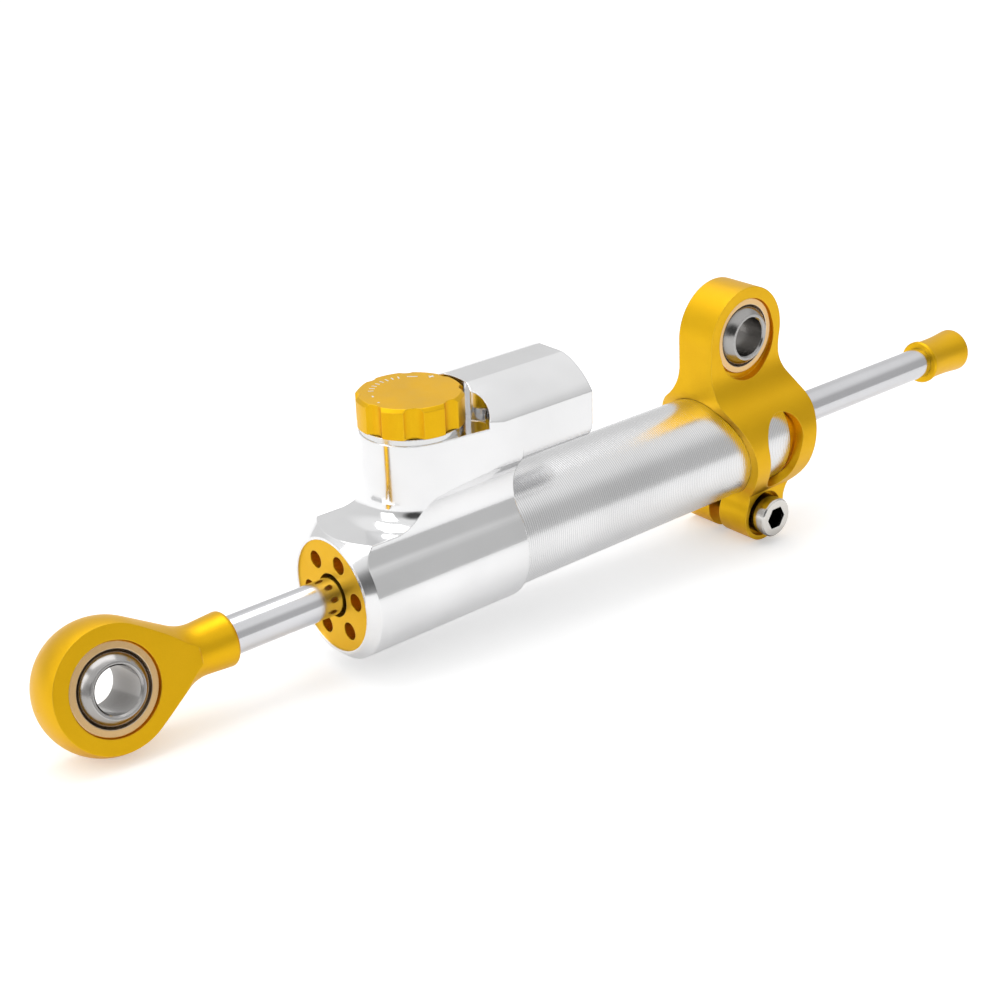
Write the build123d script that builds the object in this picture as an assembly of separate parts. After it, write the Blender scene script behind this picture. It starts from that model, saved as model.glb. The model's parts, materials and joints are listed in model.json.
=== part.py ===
from build123d import *
from math import acos, atan2, cos, degrees, hypot, pi, radians, sin, sqrt, tan
import os

# A linear steering damper: a rod slides through an oil filled cylinder,
# a needle valve under a knob meters the oil, and a clamp holds the cylinder.
# Millimetres. The origin is the centre of the rod end ball.
# X runs along the rod towards the tail cap, Z is up.

# Allowances
overrun = 1.0
running_gap = 0.04
seat_gap = 0.02

# Spherical bearing, the same in the rod end and in the clamp
bearing_bore = 8.0
ball_width = 11.0
ball_radius = 7.3
ball_edge = 0.35
race_outer_radius = 8.0
race_recess = 0.5
race_edge = 0.25
race_mouth_inset = 0.75
race_mouth_depth = 0.5

# Rod end
eye_wall = 3.6
eye_width = 9.0
eye_turn = 16.0
eye_taper_angle = 30.5
neck_radius = 4.5
neck_blend = 9.0
flat_run_out = 0.5
socket_wall = 1.45
socket_mouth = 23.2
socket_edge = 0.9
rod_shoulder_depth = 2.0
rod_stud_radius = 3.0
rod_stud_length = 6.4

# Piston rod, with bare lengths before the housing and behind the tube
rod_radius = 3.5
rod_front_length = 21.7
rod_tail_length = 59.2

# Tail cap
cap_length = 13.2
cap_rim_height = 1.4
cap_rim_width = 1.1
cap_waist_height = 1.0
cap_waist_share = 0.4
cap_edge = 0.6
tail_stud_radius = 2.5
tail_stud_length = 8.0
tail_shoulder_depth = 1.5

# Piston, placed from the tube's front end
piston_reach = 62.0
piston_length = 10.0
piston_gap = 0.08
piston_port_radius = 0.7
piston_port_wall = 0.3
piston_port_count = 4
piston_ring_width = 3.0
piston_ring_depth = 1.0
circlip_width = 1.0
circlip_height = 1.4
circlip_groove_depth = 0.5

# Cylinder tube and inner liner
tube_radius = 11.4
tube_wall = 1.4
tube_length = 100.9
oil_gap = 0.8
liner_wall = 1.2
liner_port_radius = 1.0
liner_port_inset = 5.0
liner_port_count = 4

# Glands, with a rod bush and a rod seal in each
gland_recess = 0.3
gland_step = 0.95
gland_flange_length = 8.8
gland_nose_length = 3.0
gland_lip_length = 2.0
gland_lip_gap = 0.6
gland_spigot_length = 6.0
rear_flange_step = 0.3
rear_flange_length = 2.5
pin_hole_radius = 1.65
pin_hole_inset = 3.35
pin_hole_depth = 3.5
pin_hole_count = 6
pin_hole_phase = 50.0
bush_wall = 1.4
bush_length = 8.0
seal_length = 3.0
o_ring_section = 1.2
small_o_ring_section = 0.8

# Housing billet: boss round the tube, waist, and reservoir block
nose_ring_width = 0.5
nose_cone_slope_share = 0.88
nose_cone_length = 5.6
boss_wall = 1.1
boss_length = 35.94
waist_half_width = 8.2
waist_hollow_radius = 8.3
block_half_width = 11.3
block_corner_radius = 3.0
overhang_length = 17.0
overhang_corner_radius = 3.9
crown_swell = 2.3
crown_facet_half_width = 3.1

# Deck, knob pillar and finger pocket cut into the billet
deck_drop = 1.0
pillar_inset = 19.55
pillar_radius = 9.4
pillar_height = 15.3
pillar_foot_blend = 4.0
pillar_flare_length = 12.0
pocket_depth = 6.4
pocket_wall_gap = 1.0
pocket_relief_radius = 3.6
pocket_relief_reach = 6.75
pocket_relief_offset = 8.0

# Needle valve and bonnet
valve_bore_radius = 3.05
valve_floor_lift = 0.5
valve_port_radius = 1.2
feed_port_radius = 0.7
feed_port_offset = 2.2
bonnet_step = 0.15
bonnet_flange_height = 1.1
bonnet_shank_radius = 5.5
bonnet_shank_length = 4.3
spindle_radius = 2.5
spindle_collar_radius = 4.0
spindle_collar_height = 1.15
spindle_grip = 4.0
needle_stem_radius = 1.4
needle_grip = 3.15
needle_body_length = 3.5
needle_lift = 3.0
needle_tip_radius = 0.4
needle_root_radius = 1.6
needle_tip_length = 3.4

# Knob and its detent
knob_overhang = 0.3
knob_gap = 0.1
knob_height = 5.6
knob_valley_count = 8
knob_valley_radius = 2.3
knob_valley_depth = 1.0
knob_valley_phase = 11.0
knob_chamfer = 0.6
knob_track_depth = 0.5
knob_track_gap = 0.25
detent_ball_radius = 0.8
detent_inset = 2.25
detent_plunger_length = 3.2

# Reservoir
reservoir_depth = 7.9
reservoir_radius = 5.6
reservoir_reach = 1.84
reservoir_port_radius = 0.8
reservoir_port_lift = 0.1
reservoir_piston_inset = 3.0
reservoir_piston_length = 6.0
plug_length = 4.3
plug_recess = 0.5
plug_hex_across = 5.0
plug_hex_depth = 2.5

# Clamp: a head for the bearing, a ring round the tube and a split lug
clamp_inset = 3.5
clamp_wall = 2.0
clamp_head_lead = 3.8
clamp_head_wall = 2.4
clamp_head_lift = 0.3
clamp_ring_upper = 7.5
clamp_ring_upper_radius = 10.3
clamp_ring_lower = -3.5
clamp_ring_lower_radius = 8.9
clamp_lug_lead = 1.0
clamp_lug_drop = 1.9
clamp_lug_radius = 6.0
clamp_lug_half_width = 9.0
clamp_shoulder_lead = 5.7
clamp_shoulder_height = 13.0
clamp_shoulder_radius = 8.0
clamp_near_inset = 0.8
clamp_near_blend = 40.0
clamp_far_blend = 12.0
clamp_lug_blend = 5.0
clamp_flare_radius = 10.0
clamp_slot_width = 3.0
race_relief_depth = 1.2
race_relief_drop = 1.3
race_relief_shift = 0.5
window_upper = 2.7
window_upper_radius = 5.4
window_lower = -4.8
window_lower_radius = 4.0

# Pinch bolt, a socket head cap screw
bolt_radius = 2.5
bolt_hole_gap = 0.25
bolt_head_radius = 4.25
bolt_head_height = 5.0
bolt_head_proud = 3.3
bolt_seat_gap = 0.75
bolt_hex_across = 4.5
bolt_hex_depth = 3.4
bolt_edge = 0.3
bolt_end_inset = 0.6

# What follows along X, from the rod end to the tail cap
nose_front = socket_mouth + rod_front_length
gland_face = nose_front + gland_recess
tube_front = gland_face + gland_flange_length
tube_rear = tube_front + tube_length
rear_face = tube_rear + rear_flange_length
liner_front = tube_front + gland_spigot_length
liner_rear = tube_rear - gland_spigot_length
piston_place = tube_front + piston_reach
boss_rear = nose_front + boss_length
block_rear = boss_rear + overhang_length
pillar_place = nose_front + pillar_inset
pocket_relief_place = pillar_place + pocket_relief_reach
reservoir_front = boss_rear - reservoir_reach
reservoir_piston_front = reservoir_front + reservoir_piston_inset
clamp_ring_place = tube_rear - clamp_inset
clamp_head_place = clamp_ring_place - clamp_head_lead
clamp_lug_place = clamp_ring_place - clamp_lug_lead
clamp_shoulder_place = clamp_ring_place - clamp_shoulder_lead
clamp_near_place = clamp_ring_place + clamp_near_inset
cap_front = tube_rear + rod_tail_length
cap_rear = cap_front + cap_length

# What follows round the rod, from the rod outwards
bore_radius = bearing_bore / 2
race_width = eye_width - 2 * race_recess
race_mouth_radius = ball_radius - race_mouth_inset
eye_radius = race_outer_radius + eye_wall
socket_radius = rod_radius + socket_wall
cap_rim_radius = rod_radius + cap_rim_height
cap_waist_radius = rod_radius + cap_waist_height
bush_outer_radius = rod_radius + bush_wall
circlip_outer_radius = rod_radius + circlip_height
tube_bore_radius = tube_radius - tube_wall
liner_radius = tube_bore_radius - oil_gap
liner_bore_radius = liner_radius - liner_wall
piston_radius = liner_bore_radius - piston_gap
piston_port_circle = piston_radius - piston_ring_depth - piston_port_radius - piston_port_wall
gland_disc_radius = tube_radius - gland_step
rear_flange_radius = tube_radius - rear_flange_step
pin_hole_circle = gland_disc_radius - pin_hole_inset
nose_ring_radius = gland_disc_radius + nose_ring_width
boss_radius = tube_radius + boss_wall
crown_radius = block_half_width + crown_swell
clamp_ring_outer = tube_radius + clamp_wall

# What follows in height, from the tube to the knob
deck_height = boss_radius - deck_drop
valve_floor = boss_radius + valve_floor_lift
pocket_floor = deck_height + pillar_height
crown_top = pocket_floor + pocket_depth
bonnet_top = pocket_floor + bonnet_flange_height
shank_bottom = pocket_floor - bonnet_shank_length
collar_bottom = shank_bottom - spindle_collar_height
needle_body_place = valve_floor + needle_lift
needle_stem_top = collar_bottom + needle_grip
knob_base = bonnet_top + knob_gap
reservoir_height = crown_top - reservoir_depth
reservoir_port_height = reservoir_height - reservoir_radius + reservoir_port_radius + reservoir_port_lift
clamp_head_radius = race_outer_radius + clamp_head_wall
clamp_head_height = clamp_ring_outer + clamp_head_radius + clamp_head_lift
clamp_lug_height = -clamp_ring_outer - clamp_lug_drop

# What follows for the bonnet, the knob, the detent and the bolt
bonnet_flange_radius = pillar_radius - bonnet_step
knob_radius = pillar_radius + knob_overhang
detent_circle = bonnet_flange_radius - detent_inset
bolt_seat_radius = bolt_head_radius + bolt_seat_gap
bolt_seat_place = bolt_head_height - bolt_head_proud - clamp_lug_half_width


def rod_along(radius, start, end, y=0.0, z=0.0):
    """A round bar along X."""
    bar = Cylinder(radius, end - start, align=(Align.CENTER, Align.CENTER, Align.MIN))
    return Pos(start, y, z) * Rot(0, 90, 0) * bar


def bar_across(radius, start, end, x, z):
    """A round bar along Y."""
    bar = Cylinder(radius, end - start, align=(Align.CENTER, Align.CENTER, Align.MIN))
    return Pos(x, start, z) * Rot(-90, 0, 0) * bar


def bar_up(radius, start, end, x, y=0.0):
    """A round bar along Z."""
    bar = Cylinder(radius, end - start, align=(Align.CENTER, Align.CENTER, Align.MIN))
    return Pos(x, y, start) * bar


def turned(points):
    """A solid turned about X from an outline of (x, radius) points."""
    return revolve(make_face(Polyline(*points, close=True)), Axis.X)


def tube_along(outer, inner, start, end):
    """A plain tube along X."""
    return rod_along(outer, start, end) - rod_along(inner, start - overrun, end + overrun)


def o_ring(middle, section):
    """A rubber ring in the XY plane, its section's centre at the given radius."""
    return Torus(middle, section / 2)


def hex_socket(across, depth):
    """A six sided blind hole below the XY plane, open at the top."""
    face = RegularPolygon(across / 2, 6, major_radius=False)
    return extrude(face, overrun) + extrude(face, -depth)


def towards(centre, point, distance):
    """The point at a distance from a centre, on the way to another point."""
    reach = hypot(point[0] - centre[0], point[1] - centre[1])
    share = distance / reach
    return (centre[0] + (point[0] - centre[0]) * share, centre[1] + (point[1] - centre[1]) * share)


def halfway(a, b):
    return ((a[0] + b[0]) / 2, (a[1] + b[1]) / 2)


def hollow_touch(first, second, blend, side):
    """Where a hollow arc touches two round stretches: first point, its middle, last point."""
    (ax, ay, ar), (bx, by, br) = first, second
    reach = hypot(bx - ax, by - ay)
    ux, uy = (bx - ax) / reach, (by - ay) / reach
    along = ((ar + blend) ** 2 - (br + blend) ** 2 + reach ** 2) / (2 * reach)
    off = side * sqrt((ar + blend) ** 2 - along ** 2)
    centre = (ax + ux * along - uy * off, ay + uy * along + ux * off)
    start = towards((ax, ay), centre, ar)
    end = towards((bx, by), centre, br)
    return start, towards(centre, halfway(start, end), blend), end


def straight_touch(first, second, side):
    """Where a straight line touches two round stretches from outside."""
    (ax, ay, ar), (bx, by, br) = first, second
    reach = hypot(bx - ax, by - ay)
    ux, uy = (bx - ax) / reach, (by - ay) / reach
    lean = (ar - br) / reach
    off = side * sqrt(1 - lean ** 2)
    nx, ny = ux * lean - uy * off, uy * lean + ux * off
    return (ax + nx * ar, ay + ny * ar), (bx + nx * br, by + ny * br)


def chain_side(rounds, blends, side):
    """One side of an outline that runs down a row of round stretches."""
    edges, touch = [], None
    for upper, lower, blend in zip(rounds, rounds[1:], blends):
        if blend:
            start, middle, end = hollow_touch(upper, lower, blend, side)
            link = ThreePointArc(start, middle, end)
        else:
            start, end = straight_touch(upper, lower, side)
            link = Line(start, end)
        if touch:
            bulge = towards(upper[:2], halfway(touch, start), upper[2])
            edges.append(ThreePointArc(touch, bulge, start))
        else:
            first = start
        edges.append(link)
        touch = end
    return edges, first, touch


def chain_face(rounds, left_blends, right_blends, left_rounds=None):
    """A face whose outline runs round a row of round stretches, or two rows with the same ends."""
    left, left_top, left_end = chain_side(left_rounds or rounds, left_blends, -1)
    right, right_top, right_end = chain_side(rounds, right_blends, 1)
    (tx, ty, tr), (bx, by, br) = rounds[0], rounds[-1]
    (ax, ay), (cx, cy) = rounds[0][:2], rounds[1][:2]
    top = towards((tx, ty), (2 * ax - cx, 2 * ay - cy), tr)
    (ax, ay), (cx, cy) = rounds[-1][:2], rounds[-2][:2]
    bottom = towards((bx, by), (2 * ax - cx, 2 * ay - cy), br)
    cap = ThreePointArc(left_top, top, right_top)
    heel = ThreePointArc(left_end, bottom, right_end)
    return make_face([cap, heel] + left + right)


def across_y(face, start, end):
    """An XZ outline given thickness along Y."""
    return extrude(Plane.XZ.offset(-start) * face, -(end - start))


def along_x(face, start, end):
    """A YZ outline given length along X."""
    return extrude(Plane.YZ.offset(start) * face, end - start)


# Spherical bearing
def bearing_ball():
    """The ball, with flat ends and its bore along Y."""
    half = ball_width / 2
    ball = Sphere(ball_radius) & Box(2 * ball_radius, ball_width, 2 * ball_radius)
    ball -= bar_across(bore_radius, -half - overrun, half + overrun, 0, 0)
    for end in (-1, 1):
        cone = Cone(bore_radius + ball_edge + overrun, bore_radius, ball_edge + overrun)
        lift = half - (ball_edge - overrun) / 2
        ball -= Rot(90 * end, 0, 0) * Pos(0, 0, lift) * Rot(180, 0, 0) * cone
    return ball


def bearing_race():
    """The outer race, hollowed to the ball, with a wider mouth at each end."""
    race = Rot(90, 0, 0) * Cylinder(race_outer_radius, race_width)
    race = chamfer(race.edges().filter_by(GeomType.CIRCLE), race_edge)
    mouth = race_width / 2 - race_mouth_depth
    race -= bar_across(race_mouth_radius, -race_width, -mouth, 0, 0)
    race -= bar_across(race_mouth_radius, mouth, race_width, 0, 0)
    return race - Sphere(ball_radius + running_gap)


def turned_eye(piece):
    """The rod end's own turn about the rod."""
    return Rot(-eye_turn, 0, 0) * piece


# Rod end
def eye_profile():
    """Half outline of the rod end's turned body, from its nose to its mouth."""
    lean = radians(90 - eye_taper_angle)
    touch = (eye_radius * cos(lean), eye_radius * sin(lean))
    corner = ((eye_radius - neck_radius * sin(lean)) / cos(lean), neck_radius)
    mouth = (socket_mouth, socket_radius)
    run_in = towards(corner, touch, neck_blend * tan(radians(eye_taper_angle / 2)))
    run_out = towards(corner, mouth, neck_blend * tan(radians(eye_taper_angle / 2)))
    back, low = socket_mouth - socket_edge, socket_radius - socket_edge
    bulge = (back + socket_edge * sin(pi / 4), low + socket_edge * sin(pi / 4))
    nose = CenterArc((0, 0), eye_radius, degrees(lean), 180 - degrees(lean))
    rest = [
        Line(touch, run_in),
        Spline(run_in, run_out, tangents=[(cos(lean - pi / 2), sin(lean - pi / 2)),
                                          (mouth[0] - corner[0], mouth[1] - corner[1])]),
        Line(run_out, (back, socket_radius)),
        ThreePointArc((back, socket_radius), bulge, (socket_mouth, socket_radius - socket_edge)),
        Line((socket_mouth, socket_radius - socket_edge), (socket_mouth, 0)),
        Line((socket_mouth, 0), (-eye_radius, 0)),
    ]
    return corner, make_face([nose] + rest)


def rod_end():
    """The eye with its flats, its bearing seat and its rod socket."""
    corner, profile = eye_profile()
    body = revolve(profile, Axis.X)
    flat_end = corner[0] + flat_run_out
    for side in (-1, 1):
        flat = Box(flat_end + 2 * eye_radius, eye_radius, 2 * eye_radius + overrun,
                   align=(Align.MAX, Align.CENTER, Align.CENTER))
        body -= Pos(flat_end, side * (eye_width + eye_radius) / 2, 0) * flat
    body -= bar_across(race_outer_radius, -eye_radius, eye_radius, 0, 0)
    shoulder = socket_mouth - rod_shoulder_depth
    body -= rod_along(rod_radius + seat_gap, shoulder, socket_mouth + overrun)
    body -= rod_along(rod_stud_radius, shoulder - rod_stud_length - overrun, shoulder)
    return turned_eye(body)


# Rod, circlips and tail cap
def circlip_places():
    """Where the two circlips start, one each side of the piston."""
    front = piston_place - piston_length / 2 - running_gap - circlip_width
    rear = piston_place + piston_length / 2 + running_gap
    return front, rear


def damper_rod():
    """The ground rod with its studs and circlip grooves."""
    front = socket_mouth - rod_shoulder_depth
    rear = cap_front + tail_shoulder_depth
    bar = rod_along(rod_radius, front, rear)
    bar += rod_along(rod_stud_radius, front - rod_stud_length, front)
    bar += rod_along(tail_stud_radius, rear, rear + tail_stud_length)
    for place in circlip_places():
        groove = tube_along(rod_radius + overrun, rod_radius - circlip_groove_depth,
                            place, place + circlip_width)
        bar -= groove
    return bar


def piston_circlips():
    """Two spring rings that hold the piston on the rod, each with its gap."""
    rings = []
    for place in circlip_places():
        ring = rod_along(circlip_outer_radius, place, place + circlip_width)
        ring -= rod_along(rod_radius - circlip_groove_depth, place - overrun,
                          place + circlip_width + overrun)
        gap = Box(circlip_width + 2 * overrun, rod_radius, circlip_outer_radius + overrun,
                  align=(Align.CENTER, Align.CENTER, Align.MIN))
        rings.append(ring - Pos(place + circlip_width / 2, 0, 0) * gap)
    return Compound(rings)


def tail_cap():
    """The flared stop that screws on the rod's tail."""
    waist = cap_front + cap_length * cap_waist_share
    hollow_start = (cap_front + cap_rim_width, cap_rim_radius - cap_edge / 2)
    hollow_end = (cap_rear - 2 * cap_edge, cap_rim_radius)
    slant = cap_edge / 2
    rim = [(cap_front, 0), (cap_front, cap_rim_radius - slant), (cap_front + slant, cap_rim_radius),
           (cap_front + cap_rim_width - slant, cap_rim_radius), hollow_start]
    edges = [
        Polyline(*rim),
        Spline(hollow_start, (waist, cap_waist_radius), hollow_end),
        Line(hollow_end, (cap_rear - cap_edge, cap_rim_radius)),
        Line((cap_rear - cap_edge, cap_rim_radius), (cap_rear, cap_rim_radius - cap_edge)),
        Line((cap_rear, cap_rim_radius - cap_edge), (cap_rear, 0)),
        Line((cap_rear, 0), (cap_front, 0)),
    ]
    cap = revolve(make_face(edges), Axis.X)
    shoulder = cap_front + tail_shoulder_depth
    cap -= rod_along(rod_radius + seat_gap, cap_front - overrun, shoulder)
    return cap - rod_along(tail_stud_radius, shoulder, shoulder + tail_stud_length + overrun)


# Piston
def piston():
    """The piston with its ring groove and its bleed ports."""
    front, rear = piston_place - piston_length / 2, piston_place + piston_length / 2
    body = tube_along(piston_radius, rod_radius + running_gap, front, rear)
    half = piston_ring_width / 2
    body -= tube_along(piston_radius + overrun, piston_radius - piston_ring_depth,
                       piston_place - half, piston_place + half)
    for turn in range(piston_port_count):
        angle = 2 * pi * turn / piston_port_count
        y, z = piston_port_circle * cos(angle), piston_port_circle * sin(angle)
        body -= rod_along(piston_port_radius, front - overrun, rear + overrun, y, z)
    return body


def piston_ring():
    half = piston_ring_width / 2
    return tube_along(liner_bore_radius - running_gap, piston_radius - piston_ring_depth,
                      piston_place - half, piston_place + half)


# Tube and liner
def feed_ports(radius_of_port, offset, bottom, top):
    """A drilled passage below the valve."""
    return bar_up(radius_of_port, bottom, top, pillar_place + offset)


def cylinder_tube():
    body = tube_along(tube_radius, tube_bore_radius, tube_front, tube_rear)
    body -= feed_ports(valve_port_radius, 0, 0, tube_radius + overrun)
    return body - feed_ports(feed_port_radius, -feed_port_offset, 0, tube_radius + overrun)


def liner_tube():
    """The bored liner that the piston runs in, with ports into the space round it."""
    body = tube_along(liner_radius, liner_bore_radius, liner_front, liner_rear)
    body -= feed_ports(feed_port_radius, -feed_port_offset, 0, liner_radius + overrun)
    for turn in range(liner_port_count):
        port = bar_up(liner_port_radius, liner_bore_radius - overrun, liner_radius + overrun,
                      liner_rear - liner_port_inset)
        body -= Rot(360 * turn / liner_port_count, 0, 0) * port
    return body


# Glands
def gland(flange_radius, flange_length):
    """A gland that faces towards minus X, its outer face at zero."""
    shoulder = flange_length + gland_spigot_length
    end = shoulder + gland_nose_length
    body = rod_along(flange_radius, 0, flange_length)
    body += rod_along(tube_bore_radius - seat_gap, flange_length, shoulder)
    body += rod_along(liner_bore_radius - seat_gap, shoulder, end)
    body -= rod_along(rod_radius + gland_lip_gap, -overrun, end)
    body -= rod_along(bush_outer_radius, gland_lip_length, end + overrun)
    groove_end = shoulder - o_ring_section / 2
    groove_start = groove_end - 1.5 * o_ring_section
    return body - tube_along(tube_radius, tube_bore_radius - o_ring_section - seat_gap,
                             groove_start, groove_end)


def gland_seal_ring(flange_length):
    """The gland's rubber ring, lying in its groove."""
    middle = flange_length + gland_spigot_length - 1.25 * o_ring_section
    ring = o_ring(tube_bore_radius - o_ring_section / 2 - seat_gap, o_ring_section)
    return Pos(middle, 0, 0) * Rot(0, 90, 0) * ring


def front_gland():
    """The front gland, with six holes for a pin spanner."""
    body = gland(gland_disc_radius, gland_flange_length)
    for turn in range(pin_hole_count):
        angle = radians(pin_hole_phase + 360 * turn / pin_hole_count)
        y, z = pin_hole_circle * cos(angle), pin_hole_circle * sin(angle)
        body -= rod_along(pin_hole_radius, -overrun, pin_hole_depth, y, z)
    return Pos(gland_face, 0, 0) * body


def rear_side(piece):
    """Turns a piece of the rear gland to face the tail."""
    return Pos(rear_face, 0, 0) * Rot(0, 0, 180) * piece


def rear_gland():
    return rear_side(gland(rear_flange_radius, rear_flange_length))


def rod_seal():
    start = gland_lip_length
    return tube_along(bush_outer_radius, rod_radius + running_gap, start, start + seal_length)


def rod_bush():
    start = gland_lip_length + seal_length
    return tube_along(bush_outer_radius, rod_radius + running_gap, start, start + bush_length)


# Housing
def waist_centre():
    """Centre of the hollow between the boss and the block, on the near side."""
    y = waist_half_width + waist_hollow_radius
    return y, sqrt((boss_radius + waist_hollow_radius) ** 2 - y ** 2)


def block_corner_centre():
    """Centre of the round corner under the block, which touches the hollow."""
    y, z = waist_centre()
    corner_y = block_half_width - block_corner_radius
    reach = waist_hollow_radius + block_corner_radius
    return corner_y, z + sqrt(reach ** 2 - (y - corner_y) ** 2)


def crown_edges(side, corner_z):
    """From the top facet down the block's side to the start of its corner."""
    centre_z = crown_top - sqrt(crown_radius ** 2 - crown_facet_half_width ** 2)
    crease_z = centre_z + sqrt(crown_radius ** 2 - block_half_width ** 2)
    start = (side * crown_facet_half_width, crown_top)
    crease = (side * block_half_width, crease_z)
    bulge = towards((0, centre_z), halfway(start, crease), crown_radius)
    corner = (side * block_half_width, corner_z)
    return [ThreePointArc(start, bulge, crease), Line(crease, corner)], start


def waisted_face():
    """Section of the billet's front: boss, waist and block."""
    edges = []
    hollow, corner = waist_centre(), block_corner_centre()
    for side in (-1, 1):
        hollow_c = (side * hollow[0], hollow[1])
        corner_c = (side * corner[0], corner[1])
        high = (side * block_half_width, corner[1])
        join = towards(corner_c, hollow_c, block_corner_radius)
        foot = towards((0, 0), hollow_c, boss_radius)
        crown, top = crown_edges(side, corner[1])
        edges += crown
        edges.append(ThreePointArc(high, towards(corner_c, halfway(high, join),
                                                 block_corner_radius), join))
        edges.append(ThreePointArc(join, towards(hollow_c, halfway(join, foot),
                                                 waist_hollow_radius), foot))
        if side < 0:
            left_foot, left_top = foot, top
    edges.append(ThreePointArc(left_foot, (0, -boss_radius), foot))
    edges.append(Line(left_top, top))
    return make_face(edges)


def block_face():
    """Section of the block behind the boss, with round lower corners."""
    edges = []
    base = block_corner_centre()[1] - block_corner_radius
    high_z = base + overhang_corner_radius
    for side in (-1, 1):
        crown, top = crown_edges(side, high_z)
        corner = (side * (block_half_width - overhang_corner_radius), high_z)
        high, low = (side * block_half_width, high_z), (corner[0], base)
        edges += crown
        edges.append(ThreePointArc(high, towards(corner, halfway(high, low),
                                                 overhang_corner_radius), low))
        if side < 0:
            left_low, left_top = low, top
    edges += [Line(left_low, low), Line(left_top, top)]
    return make_face(edges)


def pillar_with_foot():
    """The knob's round pillar, its foot hollowed out to the deck."""
    foot = pillar_radius + pillar_foot_blend
    high = deck_height + pillar_foot_blend
    bend = foot - pillar_foot_blend * cos(pi / 4)
    rise = high - pillar_foot_blend * sin(pi / 4)
    edges = [
        Line((0, 0), (foot, 0)),
        Line((foot, 0), (foot, deck_height)),
        ThreePointArc((foot, deck_height), (bend, rise), (pillar_radius, high)),
        Line((pillar_radius, high), (pillar_radius, crown_top + overrun)),
        Line((pillar_radius, crown_top + overrun), (0, crown_top + overrun)),
        Line((0, crown_top + overrun), (0, 0)),
    ]
    return Pos(pillar_place, 0, 0) * revolve(Plane.XZ * make_face(edges), Axis.Z)


def pillar_flare():
    """Plan of the walls that leave the pillar at a tangent and reach the block's sides."""
    reach = hypot(pillar_flare_length, block_half_width)
    turn = atan2(block_half_width, pillar_flare_length) + acos(pillar_radius / reach)
    touch = (pillar_place + pillar_radius * cos(turn), pillar_radius * sin(turn))
    far = pillar_place + pillar_flare_length
    out = block_half_width + overrun
    side = [touch, (far, block_half_width), (far, out), (block_rear, out)]
    other = [(x, -y) for x, y in reversed(side)]
    plan = make_face(Polyline(*(side + other), close=True))
    return extrude(plan, crown_top + overrun)


def nose_form():
    """Everything inside the nose's turned cone."""
    end = nose_front + nose_cone_length
    rim = nose_ring_radius + nose_cone_length * nose_cone_slope_share
    out = crown_top + block_half_width
    return turned([(nose_front, 0), (nose_front, nose_ring_radius), (end, rim),
                   (end, out), (block_rear + overrun, out), (block_rear + overrun, 0)])


def finger_pocket():
    """The space cut round the knob, with a relief each side."""
    high = crown_top + overrun
    radius = knob_radius + pocket_wall_gap
    pocket = bar_up(radius, pocket_floor, high, pillar_place)
    width = 2 * (block_half_width + overrun)
    length = pocket_relief_place - nose_front
    clear = Box(length, width, high - pocket_floor, align=(Align.MAX, Align.CENTER, Align.MIN))
    pocket += Pos(pocket_relief_place, 0, pocket_floor) * clear
    for side in (-1, 1):
        pocket += bar_up(pocket_relief_radius, pocket_floor, high, pocket_relief_place,
                         side * pocket_relief_offset)
    return pocket


def housing_bores(body):
    """Tube seat, gland thread, valve bore, ports and reservoir bore."""
    body -= rod_along(gland_disc_radius, nose_front - overrun, tube_front)
    body -= rod_along(tube_radius, tube_front, boss_rear + overrun)
    body -= bar_up(bonnet_shank_radius, collar_bottom, crown_top, pillar_place)
    body -= bar_up(valve_bore_radius, valve_floor, crown_top, pillar_place)
    body -= feed_ports(valve_port_radius, 0, 0, valve_floor + overrun)
    body -= feed_ports(feed_port_radius, -feed_port_offset, 0, valve_floor + overrun)
    body -= rod_along(reservoir_port_radius, pillar_place, reservoir_front + overrun,
                      z=reservoir_port_height)
    body -= rod_along(reservoir_radius, reservoir_front, block_rear + overrun, z=reservoir_height)
    return body - bar_up(detent_ball_radius + seat_gap, bonnet_top - detent_plunger_length,
                         crown_top, pillar_place, -detent_circle)


def housing():
    """The billet: boss, waist and block, cut to the deck, the pillar and the pocket."""
    front = along_x(waisted_face(), nose_front, boss_rear)
    low = Box(block_rear - nose_front, 4 * boss_radius, boss_radius + deck_height + overrun,
              align=(Align.MIN, Align.CENTER, Align.MAX))
    keep = Pos(nose_front, 0, deck_height) * low + pillar_with_foot() + pillar_flare()
    block = along_x(block_face(), boss_rear - overrun, block_rear)
    body = (front & keep & nose_form()) + block
    return housing_bores(body - finger_pocket())


# Valve
def valve_bonnet():
    """The ring under the knob, with its shank screwed into the pillar."""
    body = bar_up(bonnet_flange_radius, pocket_floor, bonnet_top, pillar_place)
    body += bar_up(bonnet_shank_radius, shank_bottom, pocket_floor, pillar_place)
    body -= bar_up(spindle_radius + running_gap, shank_bottom - overrun, bonnet_top + overrun,
                   pillar_place)
    outer = spindle_radius + running_gap + small_o_ring_section
    low = shank_bottom + small_o_ring_section
    body -= bar_up(outer, low, low + small_o_ring_section, pillar_place)
    inner = bonnet_shank_radius - small_o_ring_section
    ring = bar_up(bonnet_shank_radius + overrun, low, low + small_o_ring_section, pillar_place)
    body -= ring - bar_up(inner, low, low + small_o_ring_section, pillar_place)
    return body - bar_up(detent_ball_radius + seat_gap, pocket_floor - overrun,
                         bonnet_top + overrun, pillar_place, -detent_circle)


def valve_ring(middle):
    """A small rubber ring level with the bonnet's grooves."""
    level = shank_bottom + 1.5 * small_o_ring_section
    return Pos(pillar_place, 0, level) * o_ring(middle, small_o_ring_section)


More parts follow.
